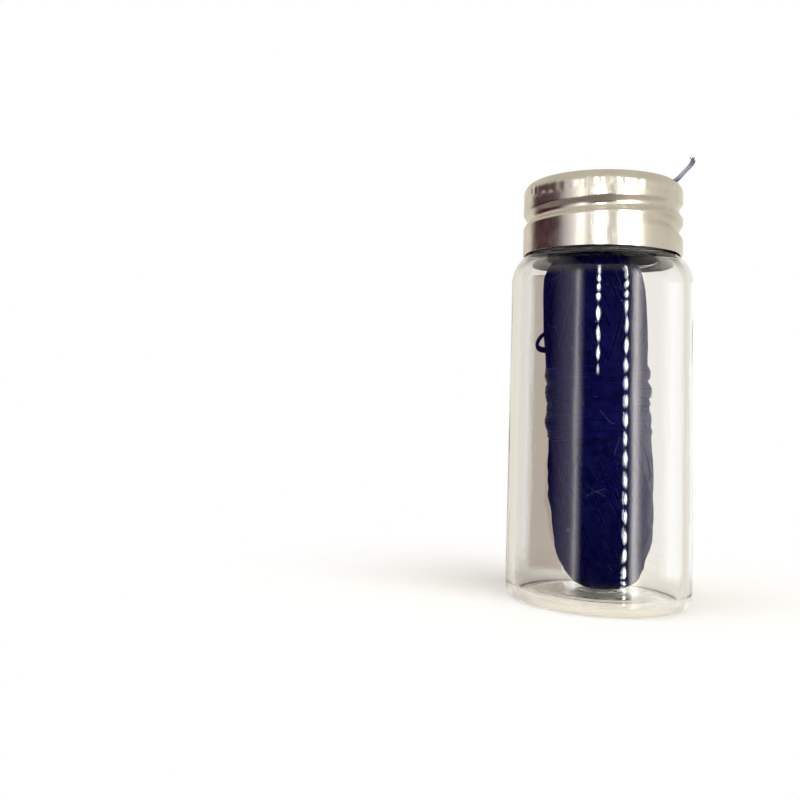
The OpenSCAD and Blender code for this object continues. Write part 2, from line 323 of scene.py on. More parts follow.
def glassMaterial(v):
    material, tree = newMaterial("clearGlass")
    place = millimetres(tree)
    waves = noiseAt(tree, stretched(tree, place, (1, 1, 0.25)), 0.22, 2)
    dust = remap(tree, noiseAt(tree, place, 2.6, 4, 0.7), 0.68, 0.78, 0, 1)
    height = math2(tree, "ADD", waves, math2(tree, "MULTIPLY", dust, 0.06))
    bump = bumpOf(tree, height, 0.25, 0.0002)
    glass = addNode(tree, "BsdfPrincipled", {
        "Base Color": v["tint"], "Roughness": 0.0, "IOR": 1.5, "Transmission Weight": 1.0,
        "Specular IOR Level": 0.42, "Normal": bump})
    clear = addNode(tree, "BsdfTransparent", {"Color": v["lampTint"]})
    lampRay = addNode(tree, "LightPath").outputs["Is Shadow Ray"]
    finishMaterial(tree, mixShaders(tree, lampRay, glass, clear))
    return material


def buildVial(v):
    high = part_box("glass_vial")[1]
    bodyRadius, height = high[0] / mm, high[2] / mm
    bm = spinOutline(vialOutline(v, bodyRadius, height), v["steps"])
    neckLow = height - v["neckHeight"]
    for vert in bm.verts:
        x, y, z = vert.co / mm
        radius = math.hypot(x, y)
        if z > neckLow and radius > v["neckRadius"] - 0.01:
            grown = 1 + threadRise(v, height, math.degrees(math.atan2(y, x)) % 360, z) / radius
            vert.co.x *= grown
            vert.co.y *= grown
    return addPiece("glassVial", meshOf(bm, "glassVial"), "vial", glassMaterial(v), ["glass_vial"])


buildVial(glassVial)


screwCap = {
    "radius": 11.5,
    "sheet": 0.3,
    "top": 60.5,
    "crownRadius": 1.8,
    "rim": 49.614,
    "outletRadius": 1.25,
    "grooveDepth": 0.55,
    "grooveWidth": 2.3,
    "grooveTurns": 1.32,
    "grooveLead": 40,
    "curlRise": 1.2,  # how far the lower end of the groove curls up
    "curlFrom": -15,  # degrees along the groove
    "curlLength": 45,
    "grooveBelowThread": 1.3,
    "pitch": 3.175,
    "threadTop": 57.65,
    "fade": 26,
    "steps": 256,
    "fluteDepth": 0.085,
    "flutes": 50,
    "fluteFoot": 57.3,
    "drawnFrom": 9.75,  # radius outside which the groove and the flutes are pressed in
    "brushTurns": (9.9, 10.8),  # radii between which the brushing turns from the top to the wall
    "window": (7.2, 9.4, -1.8, 1.8),
    "tongueZ": 61.5,
    "tongue": (7.35, 9.25, -1.8, 2.0),
    "colour": (0.80, 0.765, 0.675, 1),
    "stain": (0.66, 0.62, 0.53, 1),
    # painted shade: the inner shell of the cap gets these dark blue-grey colours and a dark edge tint,
    # standing in for the shade inside it
    "inside": (0.115, 0.11, 0.19, 1),
    "insideDeepShade": (0.07, 0.07, 0.13, 1),
    "insideEdge": (0.4, 0.4, 0.5, 1),
}


def grooveDepth(c, angle, z):
    high = 360 + c["grooveLead"]
    low = high - 360 * c["grooveTurns"]
    best = 0
    for turn in (-2, -1, 0, 1):
        a = angle + 360 * turn
        curl = c["curlRise"] * ease((c["curlFrom"] - a) / c["curlLength"])
        u = z - (c["threadTop"] - c["pitch"] * (360 - a) / 360 - c["grooveBelowThread"] + curl)
        if low < a < high and abs(u) < c["grooveWidth"] / 2:
            run = ease((a - low) / c["fade"]) * ease((high - a) / c["fade"])
            best = max(best, run * (1 - (2 * u / c["grooveWidth"]) ** 2) ** 1.6)
    return c["grooveDepth"] * best


def fluteDepth(c, angle, z):
    x, y = math.cos(math.radians(angle)) * 11, math.sin(math.radians(angle)) * 11
    drift = 0.8 * wobble(x * 0.3, y * 0.3, 2.0)
    rib = math.cos(math.radians(angle) * c["flutes"] + 3 * drift)
    share = min(1, max(0.1, 0.6 + 1.2 * wobble(x * 0.28, y * 0.28, 7.0)))
    end = c["fluteFoot"] + 0.7 * wobble(x * 0.5, y * 0.5, 5.0) - 0.25 * rib
    reach = ease((z - end) / 0.6) * ease((c["top"] + 0.1 - z) / 0.9)
    return c["fluteDepth"] * (share * (0.5 - 0.5 * rib) + 0.5 * wobble(x * 0.7, y * 0.7, z * 0.1)) * reach


def capOutline(c):
    crownX = c["radius"] - c["crownRadius"]
    top = [(c["outletRadius"] + (crownX - c["outletRadius"]) * i / 12, c["top"]) for i in range(12)]
    crown = arc(crownX, c["top"] - c["crownRadius"], c["crownRadius"], 90, 0, 18)
    return top + crown + between(crown[-1], (c["radius"], c["rim"]), 70) + [(c["radius"], c["rim"])]


def cutWindow(bm, box, top):
    low, high = Vector((box[0], box[2])) * mm, Vector((box[1], box[3])) * mm
    margin = 2 * mm

    def topFaces(isNear):
        middles = [(f, f.calc_center_median()) for f in bm.faces]
        return [f for f, middle in middles if middle.z > (top - 0.01) * mm and isNear(middle)]

    for axis, at in ((0, low.x), (0, high.x), (1, low.y), (1, high.y)):
        near = topFaces(lambda spot: spot.x > low.x - margin and abs(spot.y) < high.y + margin)
        geom = near + list({e for f in near for e in f.edges}) + list({v for f in near for v in f.verts})
        normal = (1, 0, 0) if axis == 0 else (0, 1, 0)
        place = (at, 0, 0) if axis == 0 else (0, at, 0)
        bmesh.ops.bisect_plane(bm, geom=geom, plane_co=place, plane_no=normal, dist=0.0005 * mm)
    inside = topFaces(lambda spot: low.x < spot.x < high.x and low.y < spot.y < high.y)
    bmesh.ops.delete(bm, geom=inside, context="FACES")


def steelMaterial(c, name, clean, stain, edge=(1, 1, 1, 1)):
    material, tree = newMaterial(name)
    place = millimetres(tree)
    flat = stretched(tree, place, (1, 1, 0))
    outward = addNode(tree, "VectorMath", {0: flat}, operation="NORMALIZE").outputs[0]
    ring = split(tree, scaled(tree, outward, c["radius"]))
    rise = math2(tree, "MULTIPLY", split(tree, place)[2], 0.03)
    wall = addNode(tree, "CombineXYZ", {0: ring[0], 1: ring[1], 2: rise}).outputs[0]
    disc = stretched(tree, place, (0.04, 1, 1))
    onWall = remap(tree, lengthOf(tree, flat), *c["brushTurns"], 0, 1)
    grain = addNode(tree, "Mix", {0: onWall, 4: disc, 5: wall}, data_type="VECTOR").outputs[1]
    fine = noiseAt(tree, grain, 7.0, 4, 0.65)
    broad = noiseAt(tree, grain, 1.3, 2)
    cloud = noiseAt(tree, place, 0.35, 5)
    # on the outer steel stain is a real stain; on the inner shell both clean and stain are painted shade
    # colours
    colour = blendColours(tree, remap(tree, cloud, 0.42, 0.72, 0, 0.6), clean, stain)
    colour = blendColours(tree, remap(tree, fine, 0.35, 0.75, 0, 0.35), colour, stain)
    brushed = remap(tree, fine, 0.3, 0.7, 0.19, 0.26)
    rough = math2(tree, "ADD", brushed, remap(tree, cloud, 0.35, 0.7, -0.02, 0.06))
    ridges = math2(tree, "ADD", fine, math2(tree, "MULTIPLY", broad, 0.4))
    steel = addNode(tree, "BsdfPrincipled", {
        "Base Color": colour, "Metallic": 1.0, "Roughness": rough, "Specular Tint": edge,
        "Normal": bumpOf(tree, ridges, 0.16, 0.00003)})
    finishMaterial(tree, steel.outputs[0])
    return material


def thicken(piece, thickness, offset, even=False):
    sheet = piece.modifiers.new("sheet", "SOLIDIFY")
    sheet.thickness = thickness * mm
    sheet.offset = offset
    sheet.use_even_offset = even
    return sheet


def softenEdges(piece, width, segments):
    edges = piece.modifiers.new("edges", "BEVEL")
    edges.width = width * mm
    edges.segments = segments
    edges.limit_method = "ANGLE"
    edges.angle_limit = math.radians(50)


def buildCap(c):
    bm = spinOutline(capOutline(c), c["steps"])
    topFace = max(bm.faces, key=lambda f: f.calc_center_median().z)
    if topFace.normal.z < 0:
        bmesh.ops.reverse_faces(bm, faces=bm.faces)
    for vert in bm.verts:
        x, y, z = vert.co / mm
        radius = math.hypot(x, y)
        if radius > c["drawnFrom"]:
            angle = math.degrees(math.atan2(y, x)) % 360
            drawn = 1 - (grooveDepth(c, angle, z) + fluteDepth(c, angle, z)) / radius
            vert.co.x *= drawn
            vert.co.y *= drawn
    cutWindow(bm, c["window"], c["top"])
    steel = steelMaterial(c, "brushedSteel", c["colour"], c["stain"])
    shell = addPiece("capSheet", meshOf(bm, "capSheet"), "cap", steel, ["cap_shell"])
    # the inner shell gets a painted-shade copy of the steel: dark colours stand in for the shade inside the
    # cap
    inside = steelMaterial(c, "paintedShadeSteelInside", c["inside"], c["insideDeepShade"], c["insideEdge"])
    shell.data.materials.append(inside)
    thicken(shell, c["sheet"], -1, even=True).material_offset = 1
    softenEdges(shell, 0.09, 3)
    buildTongue(c, steel)


def buildTongue(c, steel):
    x0, x1, y0, y1 = c["tongue"]
    mid = c["top"] - c["sheet"] / 2
    line = [(y1, mid), (y1 - 0.2, mid), (y1 - 0.2 - (c["tongueZ"] - mid), c["tongueZ"]), (y0, c["tongueZ"])]
    bm = bmesh.new()
    verts = [bm.verts.new((x0 * mm, y * mm, z * mm)) for y, z in line]
    edges = [bm.edges.new(pair) for pair in zip(verts, verts[1:])]
    grown = bmesh.ops.extrude_edge_only(bm, edges=edges)["geom"]
    moved = [g for g in grown if isinstance(g, bmesh.types.BMVert)]
    bmesh.ops.translate(bm, verts=moved, vec=((x1 - x0) * mm, 0, 0))
    bends = [e for e in bm.edges if len(e.link_faces) == 2]
    bmesh.ops.bevel(bm, geom=bends, offset=0.25 * mm, segments=4, profile=0.5, affect="EDGES", material=-1)
    tip = [v for v in bm.verts if v.co.y < (y0 + 0.01) * mm]
    bmesh.ops.bevel(bm, geom=tip, offset=0.3 * mm, segments=3, profile=0.5, affect="VERTICES", material=-1)
    bmesh.ops.recalc_face_normals(bm, faces=bm.faces)
    tongue = addPiece("cutterTongue", meshOf(bm, "cutterTongue"), "cap", steel, ())
    thicken(tongue, c["sheet"], 0)
    softenEdges(tongue, 0.05, 2)


buildCap(screwCap)


sealLiner = {
    "colour": (0.80, 0.80, 0.77, 1),
    "shade": (0.70, 0.70, 0.66, 1),
    "undersideShade": (0.05, 0.05, 0.12, 1),  # painted shade on the liner's underside, over the middle above the refill
    "undersideShadeRadius": 8.4,
    "underside": 59.6,
}


def linerMaterial(s):
    material, tree = newMaterial("foamLiner")
    place = millimetres(tree)
    foam = addNode(tree, "TexVoronoi", {"Vector": place, "Scale": 2.2}, feature="SMOOTH_F1")
    cloud = noiseAt(tree, place, 0.6, 3)
    colour = blendColours(tree, remap(tree, cloud, 0.35, 0.7, 0, 1), s["colour"], s["shade"])
    radius = lengthOf(tree, stretched(tree, place, (1, 1, 0)))
    ragged = math2(tree, "ADD", radius, remap(tree, cloud, 0.3, 0.7, -0.5, 0.5))
    # painted shade: the underside is darkened to navy within this radius
    within = remap(tree, ragged, s["undersideShadeRadius"] - 0.4, s["undersideShadeRadius"] + 0.4, 0.9, 0)
    under = remap(tree, split(tree, place)[2], s["underside"] - 0.1, s["underside"] + 0.1, 1, 0)
    colour = blendColours(tree, math2(tree, "MULTIPLY", within, under), colour, s["undersideShade"])
    bump = bumpOf(tree, foam.outputs["Distance"], 0.3, 0.0001)
    skin = addNode(tree, "BsdfPrincipled", {"Base Color": colour, "Roughness": 0.62, "Normal": bump})
    finishMaterial(tree, skin.outputs[0])
    return material


def dressLiner(s):
    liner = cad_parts["seal_liner"]
    liner.data.materials.clear()
    liner.data.materials.append(linerMaterial(s))


dressLiner(sealLiner)


refill = {
    "radius": 7.3,
    "length": 49.2,
    "coreRadius": 2.0,
    "coreDepth": 30,
    "footTaper": 15,
    "headTaper": 9,
    "lean": 2.8,
    "foot": (1.0, 0, 2.1),
    "waistAt": 26.1,
    "waistLength": 10.44,
    "waistDip": 0.3,
    "passes": 110,
    "crossing": 22,  # degrees between a winding and the axis
    "threadRadius": 0.26,
    "windingSteps": 52,
    "leastTurnRadius": 2.4,
    "sunk": 0.14,  # how far a thread's middle lies inside the winding's outline
    "coreInset": 0.16,
    "bandTurns": 44,
    "bandThreadRadius": 0.30,
    "bandLobes": (0, 1.3, 4.2, 5.5, 8.3, 10.44),  # where one bundle of turns gives way to the next
    "bandRise": (0.30, 0.42, 0.30, 0.50, 0.42),
    "dark": (0.0002, 0.0002, 0.030, 1),
    "light": (0.0045, 0.0055, 0.060, 1),
    "fibres": 48,
    "fibreRadius": 0.024,
    "fibreStep": 0.28,
    "fibreSteps": 11,
}


def endRound(t):
    return (1 - (1 - min(1, max(0, t))) ** 2) ** 0.25


def windingRadius(r, s):
    u = (s - r["waistAt"]) / r["waistLength"]
    dip = r["waistDip"] * math.cos(math.pi / 2 * u) ** 2 if abs(u) < 1 else 0
    return r["radius"] * endRound(s / r["footTaper"]) * endRound((r["length"] - s) / r["headTaper"]) - dip


def leanInVial(r, x, y, s):
    lean = math.radians(r["lean"])
    footX, footY, footZ = r["foot"]
    return (footX + x * math.cos(lean) - s * math.sin(lean), footY + y,
            footZ + x * math.sin(lean) + s * math.cos(lean))


def lumps(angle, s):
    x, y = math.cos(angle) * 7, math.sin(angle) * 7
    low = ease((22 - s) / 8)
    broad = 0.12 * wobble(x * 0.2, y * 0.2, s * 0.16)
    knots = 0.22 * low * wobble(x * 0.4, y * 0.4, s * 0.45 + 20)
    fine = (0.05 + 0.12 * low + 0.10 * ease((5 - s) / 4)) * wobble(x * 1.1, y * 1.1, s * 1.1 + 50)
    return broad + knots + fine


def heights(r, endSteps, middleSteps):
    foot = [r["footTaper"] * (1 - math.cos(math.pi / 2 * i / endSteps)) for i in range(1, endSteps + 1)]
    straight = r["length"] - r["footTaper"] - r["headTaper"]
    middle = [r["footTaper"] + straight * i / middleSteps for i in range(1, middleSteps)]
    head = [r["length"] - r["headTaper"] * (1 - math.cos(math.pi / 2 * i / endSteps))
            for i in range(endSteps, 0, -1)]
    return foot + middle + head


def profileWalk(r, steps):
    points = [(windingRadius(r, s), s) for s in heights(r, 60, 120)]
    points = [(radius, s) for radius, s in points if radius > (0.8 if s < 20 else r["coreRadius"] + 0.3)]
    walked = [0]
    for a, b in zip(points, points[1:]):
        walked.append(walked[-1] + math.dist(a, b))
    even, j = [], 0
    for i in range(steps + 1):
        target = walked[-1] * i / steps
        while j < len(walked) - 2 and walked[j + 1] < target:
            j += 1
        t = (target - walked[j]) / (walked[j + 1] - walked[j])
        even.append(tuple(p + (q - p) * t for p, q in zip(points[j], points[j + 1])))
    return even, walked[-1] / steps


def windings(r):
    walk, stride = profileWalk(r, r["windingSteps"])
    lines = []
    for number in range(2 * r["passes"]):
        way = 1 if number % 2 else -1
        angle = fullTurn * (number // 2) / r["passes"] + 0.02 * wobble(number * 0.7, 1.5)
        slope = math.tan(math.radians(r["crossing"] + 11 * wobble(number * 0.37, 7.7)))
        line = []
        for i, (radius, s) in enumerate(walk):
            angle += way * slope * stride / max(radius, r["leastTurnRadius"])
            over = way * wobble(math.cos(angle) * 1.7, math.sin(angle) * 1.7, s * 0.11 + 3)
            out = radius - r["sunk"] + lumps(angle, s) + 0.20 * over + 0.035 * wobble(number * 1.3, i * 0.08)
            line.append(leanInVial(r, out * math.cos(angle), out * math.sin(angle), s))
        lines.append(line)
    return lines


def bandLift(r, angle, t):
    edges, rise = r["bandLobes"], r["bandRise"]
    x, y = math.cos(angle), math.sin(angle)
    shifted = t + 0.9 * wobble(x * 0.9, y * 0.9, t * 0.1 + 2)
    for low, high, height in zip(edges, edges[1:], rise):
        if low <= shifted <= high:
            u = 2 * (shifted - low) / (high - low) - 1
            share = min(1.15, max(0.35, 0.75 + 1.1 * wobble(x * 1.1, y * 1.1, high * 3)))
            return height * (0.05 + 0.95 * (1 - u * u) * share)
    return 0


def waistBand(r):
    line, perTurn = [], 48
    low = r["waistAt"] - r["waistLength"] / 2
    total = r["bandTurns"] * perTurn
    for i in range(total + 1):
        t = i / total
        angle = fullTurn * i / perTurn
        x, y = math.cos(angle), math.sin(angle)
        sweep = 1 - abs(1 - 2 * t)  # wound up the waist, then down again over itself
        s = low + r["waistLength"] * (0.02 + 0.96 * sweep) + 0.5 * wobble(t * 31, x * 1.1, y)
        lift = (bandLift(r, angle, s - low) + 0.20 * wobble(s * 0.9, x * 1.5 + 4, y * 1.5)
                + 0.05 * wobble(t * 90, x))
        out = windingRadius(r, s) - r["sunk"] + lift
        line.append(leanInVial(r, out * x, out * y, s))
    return line


def flossMaterial(name, dark, light, lint):
    material, tree = newMaterial(name)
    place = millimetres(tree)
    patch = noiseAt(tree, place, 0.9, 5, 0.6)
    fibre = noiseAt(tree, place, 9.0, 3)
    colour = blendColours(tree, remap(tree, patch, 0.35, 0.7, 0, 1), dark, light)
    cells = addNode(tree, "TexVoronoi", {"Vector": place, "Scale": 0.42})
    draw = addNode(tree, "SeparateColor", {0: cells.outputs["Color"]}).outputs[0]
    chosen = math2(tree, "GREATER_THAN", draw, 0.72)
    speck = math2(tree, "MULTIPLY", remap(tree, cells.outputs["Distance"], 0.05, 0.085, 1, 0), chosen)
    colour = blendColours(tree, math2(tree, "MULTIPLY", speck, lint), colour, (0.42, 0.42, 0.5, 1))
    wax = addNode(tree, "BsdfPrincipled", {
        "Base Color": colour, "Roughness": remap(tree, fibre, 0.3, 0.7, 0.30, 0.5),
        "Specular IOR Level": 0.02, "Normal": bumpOf(tree, fibre, 0.5, 0.00004)})
    finishMaterial(tree, wax.outputs[0])
    return material


def strayFibres(r):
    lines = []
    for k in range(r["fibres"]):
        angle, s = fullTurn * wobble(k * 3.1, 9.2) * 1.6, 3 + 42 * (k + 0.5) / r["fibres"]
        heading = math.radians(90 * wobble(k * 1.7, 3.3) * 2)
        line = []
        for i in range(r["fibreSteps"]):
            heading += 0.35 * wobble(k * 5.3, i * 0.3)
            s = min(r["length"] - 4, max(3, s + r["fibreStep"] * math.sin(heading)))
            angle += r["fibreStep"] * math.cos(heading) / r["radius"]
            u = s - r["waistAt"] + r["waistLength"] / 2
            band = 0.12 + bandLift(r, angle, u) if 0 < u < r["waistLength"] else 0
            out = windingRadius(r, s) + lumps(angle, s) + 0.16 + band
            line.append(leanInVial(r, out * math.cos(angle), out * math.sin(angle), s))
        lines.append(line)
    return lines


def coreMesh(r):
    body = [(windingRadius(r, s) - r["coreInset"], s) for s in heights(r, 24, 40)]
    body = [(0, body[0][1])] + [(max(0.3, x), s) for x, s in body if s < 30 or x > r["coreRadius"] + 0.2]
    wellFoot = r["length"] - r["coreDepth"]
    well = [(r["coreRadius"], r["length"] - 0.3), (r["coreRadius"], wellFoot), (0, wellFoot)]
    bm = spinOutline(body + well, 96)
    for vert in bm.verts:
        x, y, s = vert.co / mm
        radius = math.hypot(x, y)
        if radius > r["coreRadius"] + 0.1:
            grown = 1 + lumps(math.atan2(y, x), s) / radius
            x, y = x * grown, y * grown
        vert.co = Vector(leanInVial(r, x, y, s)) * mm
    return meshOf(bm, "flossCore")


def buildRefill(r):
    floss = flossMaterial("waxedFloss", r["dark"], r["light"], 0.5)
    addPiece("flossCore", coreMesh(r), "vial", floss, ["floss_bobbin"])
    turns = tubes("flossWindings", windings(r), r["threadRadius"])
    addPiece("flossWindings", turns, "vial", floss, ())
    lint = flossMaterial("paleLint", (0.012, 0.012, 0.04, 1), (0.14, 0.14, 0.22, 1), 0.0)
    addPiece("strayFibres", tubes("strayFibres", strayFibres(r), r["fibreRadius"]), "vial", lint, ())
    band = flossMaterial("waxedFlossBand", r["dark"], r["light"], 0.5)
    addPiece("waistBand", tubes("waistBand", [waistBand(r)], r["bandThreadRadius"], 1), "vial", band,
             ["floss_waist_wrap"])


buildRefill(refill)


looseLoop = {
    "at": 34.7,
    "threadRadius": 0.28,
    "bow": [(0.6, 1.75), (0.1, 1.55), (-0.45, 1.25), (-0.95, 0.65), (-1.22, -0.1), (-1.08, -0.7),
            (-0.6, -1.0), (0.0, -1.08), (0.6, -1.05)],
    "tuck": [(-1.12, -0.35), (-0.8, -0.62), (-0.3, -0.72), (0.2, -0.72), (0.6, -0.66)],
}


def loopLines(loop, r):
    edge = windingRadius(r, loop["at"])
    lines = []
    for shape in (loop["bow"], loop["tuck"]):
        route = smoothRoute([(x, 0, z) for x, z in shape], 5)
        lines.append([leanInVial(r, -edge + p.x, 0.25 * wobble(p.x, p.z), loop["at"] + p.z) for p in route])
    return lines


addPiece("looseLoop", tubes("looseLoop", loopLines(looseLoop, refill), looseLoop["threadRadius"], 3), "vial",
         bpy.data.materials["waxedFlossBand"], ["floss_loop"])


strand = {
    "route": [(0, 29), (0, 33), (0, 37), (0, 41), (0, 45), (0, 49), (0, 53), (0, 56.5), (0.1, 58.6),
              (0.3, 59.7), (0.65, 60.4), (1.1, 61), (1.8, 61.35), (2.7, 61.35), (3.7, 61.1), (5, 60.93),
              (6.4, 60.9), (7.6, 60.9), (9, 60.9), (9.9, 61), (10.6, 61.4), (11.3, 62), (12.2, 63),
              (13, 63.9), (13.4, 64.5), (13.5, 64.95)],
    "diameter": 0.7,
    "taperLength": 1.3,
    "dark": (0.125, 0.115, 0.17, 1),
    "light": (0.33, 0.32, 0.39, 1),
    "paleFrom": 61.5,
    "paleTo": 63.6,
    "routeSteps": 12,
    "fray": 7,
    "frayRoot": (-14, -8),  # points of the route, where the wisps start and what they head for
    "frayRadius": 0.07,
    "tipTop": 65.02,
}


def strandMaterial(s):
    material, tree = newMaterial("strandFloss")
    place = millimetres(tree)
    height = split(tree, place)[2]
    patch = noiseAt(tree, place, 0.8, 3)
    fibre = noiseAt(tree, place, 4.0, 2)
    pale = math2(tree, "MULTIPLY", remap(tree, height, s["paleFrom"], s["paleFrom"] + 0.8, 0, 1),
                 remap(tree, height, s["paleTo"], s["paleTo"] + 0.9, 1, 0))
    mottled = math2(tree, "MULTIPLY", pale, remap(tree, patch, 0.3, 0.7, 0.8, 1))
    wax = addNode(tree, "BsdfPrincipled", {
        "Base Color": blendColours(tree, mottled, s["dark"], s["light"]),
        "Roughness": remap(tree, fibre, 0.3, 0.7, 0.5, 0.65), "Specular IOR Level": 0.15,
        "Sheen Weight": 0.05, "Sheen Roughness": 0.4, "Normal": bumpOf(tree, fibre, 0.2, 0.00001)})
    finishMaterial(tree, wax.outputs[0])
    return material


def buildStrand(s):
    route = smoothRoute([(x, 0, z) for x, z in s["route"]], s["routeSteps"])
    length = sum((b - a).length for a, b in zip(route, route[1:]))
    floss = strandMaterial(s)
    taperFrom = 1 - s["taperLength"] / length

    def thickness(t):
        return (0.94 + 0.06 * math.cos(46 * t)) * (1 - 0.8 * ease((t - taperFrom) / (1 - taperFrom)))

    mesh = tubes("flossStrand", [route], s["diameter"] / 2, 5, thickness)
    piece = addPiece("flossStrand", mesh, "cap", floss, ["floss_strand"])
    root, beyond = (route[i] for i in s["frayRoot"])
    ahead = (beyond - root).normalized()
    wisps = []
    for k in range(s["fray"]):
        lean = (k / (s["fray"] - 1) - 0.5) * 0.95
        sway = Vector((lean * 0.95 - 0.12, 0.30 * math.sin(k * 2.4), 0))
        tall = s["tipTop"] - root.z - 0.5 * abs(wobble(k * 1.7, 4))
        wisps.append([root + ahead * 0.3 * (1 - (i / 8 - 1) ** 2) + sway * (i / 8) ** 1.2
                      + Vector((0, 0, tall * (i / 8) ** 1.3)) for i in range(9)])
    frayMesh = tubes("frayedTip", wisps, s["frayRadius"], 1, lambda t: 1.9 - 1.6 * t)
    frayed = addPiece("frayedTip", frayMesh, "cap", floss, ())


buildStrand(strand)
print("object done")


studio = {
    "facing": -102.3,  # azimuth of the side that faces the camera, in degrees
    "panels": [  # azimuth from the camera, then the light that comes from there
        (-180, (0.90, 0.88, 0.83)), (-150, (0.75, 0.71, 0.62)), (-124, (0.85, 0.81, 0.72)),
        (-117, (0.05, 0.006, 0.022)), (-66, (0.05, 0.006, 0.022)), (-60, (0.13, 0.11, 0.14)),
        (-53, (0.25, 0.225, 0.31)), (-44, (0.48, 0.44, 0.54)), (-38, (0.64, 0.59, 0.68)),
        (-34, (0.95, 0.89, 0.90)), (-31.2, (2.2, 2.1, 2.05)), (-29.4, (3.5, 3.3, 3.25)),
        (-27.4, (2.2, 2.1, 2.1)), (-24.8, (1.1, 1.05, 1.1)),
        (-21.8, (0.30, 0.29, 0.36)), (-19, (0.001, 0.001, 0.006)), (28, (0.003, 0.003, 0.01)),
        (37, (0.10, 0.09, 0.12)), (39.5, (0.8, 0.75, 0.75)), (42, (3.8, 3.6, 3.4)), (44.6, (6.9, 6.6, 6.1)),
        (47.4, (5.6, 5.35, 5.0)), (50.8, (2.9, 2.8, 2.75)), (55, (1.3, 1.25, 1.2)), (62, (0.78, 0.74, 0.69)),
        (76, (0.70, 0.665, 0.60)),
        (110, (0.68, 0.65, 0.58)), (150, (0.80, 0.77, 0.70)), (180, (0.90, 0.88, 0.83)),
    ],
    "panelScale": 7,
    "ceiling": (0.62, 0.58, 0.52, 1),
    "overhead": (0.62, 0.59, 0.52, 1),
    "below": (0.22, 0.185, 0.17, 1),
    "belowSides": (0.55, 0.50, 0.43, 1),
    "underGlass": (0.004, 0.004, 0.03, 1),
    "rightOfGlass": (1.05, 1.03, 1.0, 1),
    "seenThrough": (0.925, 0.905, 0.865, 1),
    "floorRadius": 0.2,
    "floorFade": (20, 60),  # mm from the axis, over which the floor gives way to the white background
    "floorMirrorFade": (16, 34),  # the same, for rays that have been reflected
    "floorColour": (0.90, 0.865, 0.79, 1),
    "floorSeen": (0.82, 0.82, 0.81, 1),
    "boardDistance": 0.42,
}


leds = {
    "strips": [(-2.2, 0.046, 0.30), (31.8, -0.10, 0.30)],  # azimuth from the camera, low and high end in m
    "distance": 0.4,
    "width": 0.045,
    "fade": 0.014,
    "pitch": 0.010,
    "strength": 62,
    "falloff": 5.2,
    "spread": (0.15, 1.1),  # how wide the glow is between two lamps, and how much wider at a lamp
    "sharpness": 1.2,
    "haze": 0.004,
}


cards = [  # "at" is a card's middle, its distance behind the vial and its lower edge, all in mm
    # the first card glows a beige grey behind the vial's left side: a painted shadow on the backdrop, seen
    # only through the glass
    {"name": "warmCard", "at": (-10.2, 15, 0.3), "size": (8.6, 50), "rounding": 2.6,
     "colour": (0.455, 0.39, 0.325, 1)},
    {"name": "whiteCard", "at": (15.5, 15, 0.3), "size": (10, 48), "rounding": 1.0,
     "colour": (1.05, 1.05, 1.04, 1)},
]


steelBoards = [  # middle and half width in degrees from the camera, then the low and high edge in m
    {"middle": -35, "half": 23, "low": -0.02, "high": 0.26, "colour": (0.29, 0.285, 0.255, 1)},
    {"middle": 10, "half": 22, "low": -0.02, "high": 0.26, "colour": (0.42, 0.405, 0.37, 1)},
]


shoulderFlag = {  # radii and height in mm, and half its width in degrees
    "inner": 11.9,
    "outer": 17.5,
    "z": 50.5,
    "half": 46,
    "colour": (0.006, 0.006, 0.012, 1),
}


def horizonRamp(tree, s, way):
    parts = split(tree, way)
    turn = math2(tree, "ARCTAN2", parts[1], parts[0])
    share = math2(tree, "DIVIDE", math2(tree, "SUBTRACT", turn, math.radians(s["facing"])), fullTurn)
    share = math2(tree, "FRACT", math2(tree, "ADD", share, 1.5))
    ramp = addNode(tree, "ValToRGB", {0: share})
    stops = ramp.color_ramp.elements
    panels = s["panels"]
    while len(stops) < len(panels):
        stops.new(1)
    for stop, (azimuth, colour) in zip(stops, panels):
        stop.position = (azimuth + 180) / 360
        stop.color = (*(c / s["panelScale"] for c in colour), 1)
    return scaled(tree, ramp.outputs[0], s["panelScale"])


